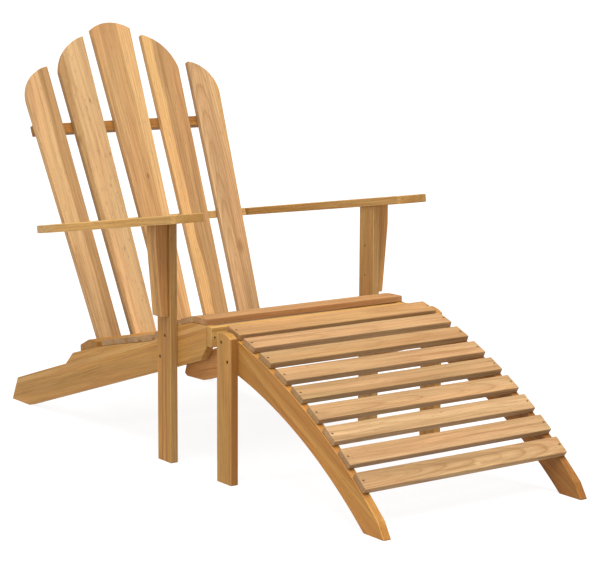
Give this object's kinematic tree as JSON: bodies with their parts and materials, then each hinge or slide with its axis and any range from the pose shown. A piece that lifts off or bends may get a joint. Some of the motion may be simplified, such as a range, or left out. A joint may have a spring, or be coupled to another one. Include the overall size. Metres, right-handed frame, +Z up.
{
  "type": "adirondack chair",
  "caption": "Slatted wooden garden armchair with a reclined fan back, wide sloping arms and a matching curved footrest that pulls away from the front.",
  "frame": {"origin": "on the floor under the middle of the whole set, chair and footrest together", "axes": "+X towards the sitter's left, +Y towards the back of the chair (the sitter looks along -Y), +Z up"},
  "size_m": [0.744, 1.6298, 1.0063],
  "materials": {
    "frame_wood": "satin",
    "back_slats": "satin",
    "seat_slats": "satin",
    "arms": "satin",
    "screws": "satin"
  },
  "bodies": {
    "chair": {"stringer_right": "frame_wood", "stringer_left": "frame_wood", "front_leg_right": "frame_wood", "front_leg_left": "frame_wood", "arm_right": "arms", "arm_left": "arms", "arm_bracket_right": "frame_wood", "arm_bracket_left": "frame_wood", "back_slat_1": "back_slats", "back_slat_2": "back_slats", "back_slat_3": "back_slats", "back_slat_4": "back_slats", "back_slat_5": "back_slats", "upper_back_rail": "frame_wood", "arm_back_rail": "frame_wood", "bottom_back_rail": "frame_wood", "seat_slat_1": "seat_slats", "seat_slat_2": "seat_slats", "seat_slat_3": "seat_slats", "seat_slat_4": "seat_slats", "seat_slat_5": "seat_slats", "seat_slat_6": "seat_slats", "seat_slat_7": "seat_slats", "seat_slat_8": "seat_slats", "front_apron": "frame_wood", "leg_screws": "screws", "apron_screws": "screws", "seat_screws": "screws", "back_screws": "screws", "arm_screws": "screws", "bracket_screws": "screws"},
    "footrest": {"footrest_rail_right": "frame_wood", "footrest_rail_left": "frame_wood", "footrest_tail_right": "frame_wood", "footrest_tail_left": "frame_wood", "footrest_leg_right": "frame_wood", "footrest_leg_left": "frame_wood", "footrest_slat_1": "seat_slats", "footrest_slat_2": "seat_slats", "footrest_slat_3": "seat_slats", "footrest_slat_4": "seat_slats", "footrest_slat_5": "seat_slats", "footrest_slat_6": "seat_slats", "footrest_slat_7": "seat_slats", "footrest_slat_8": "seat_slats", "footrest_slat_9": "seat_slats", "footrest_leg_screws": "screws", "footrest_tail_screws": "screws", "footrest_slat_screws": "screws"}
  },
  "joints": [
    {"name": "footrest_pull", "type": "slide", "parent": "chair", "child": "footrest", "axis": [0, -1, 0], "range_m": [0, 0.3]}
  ]
}
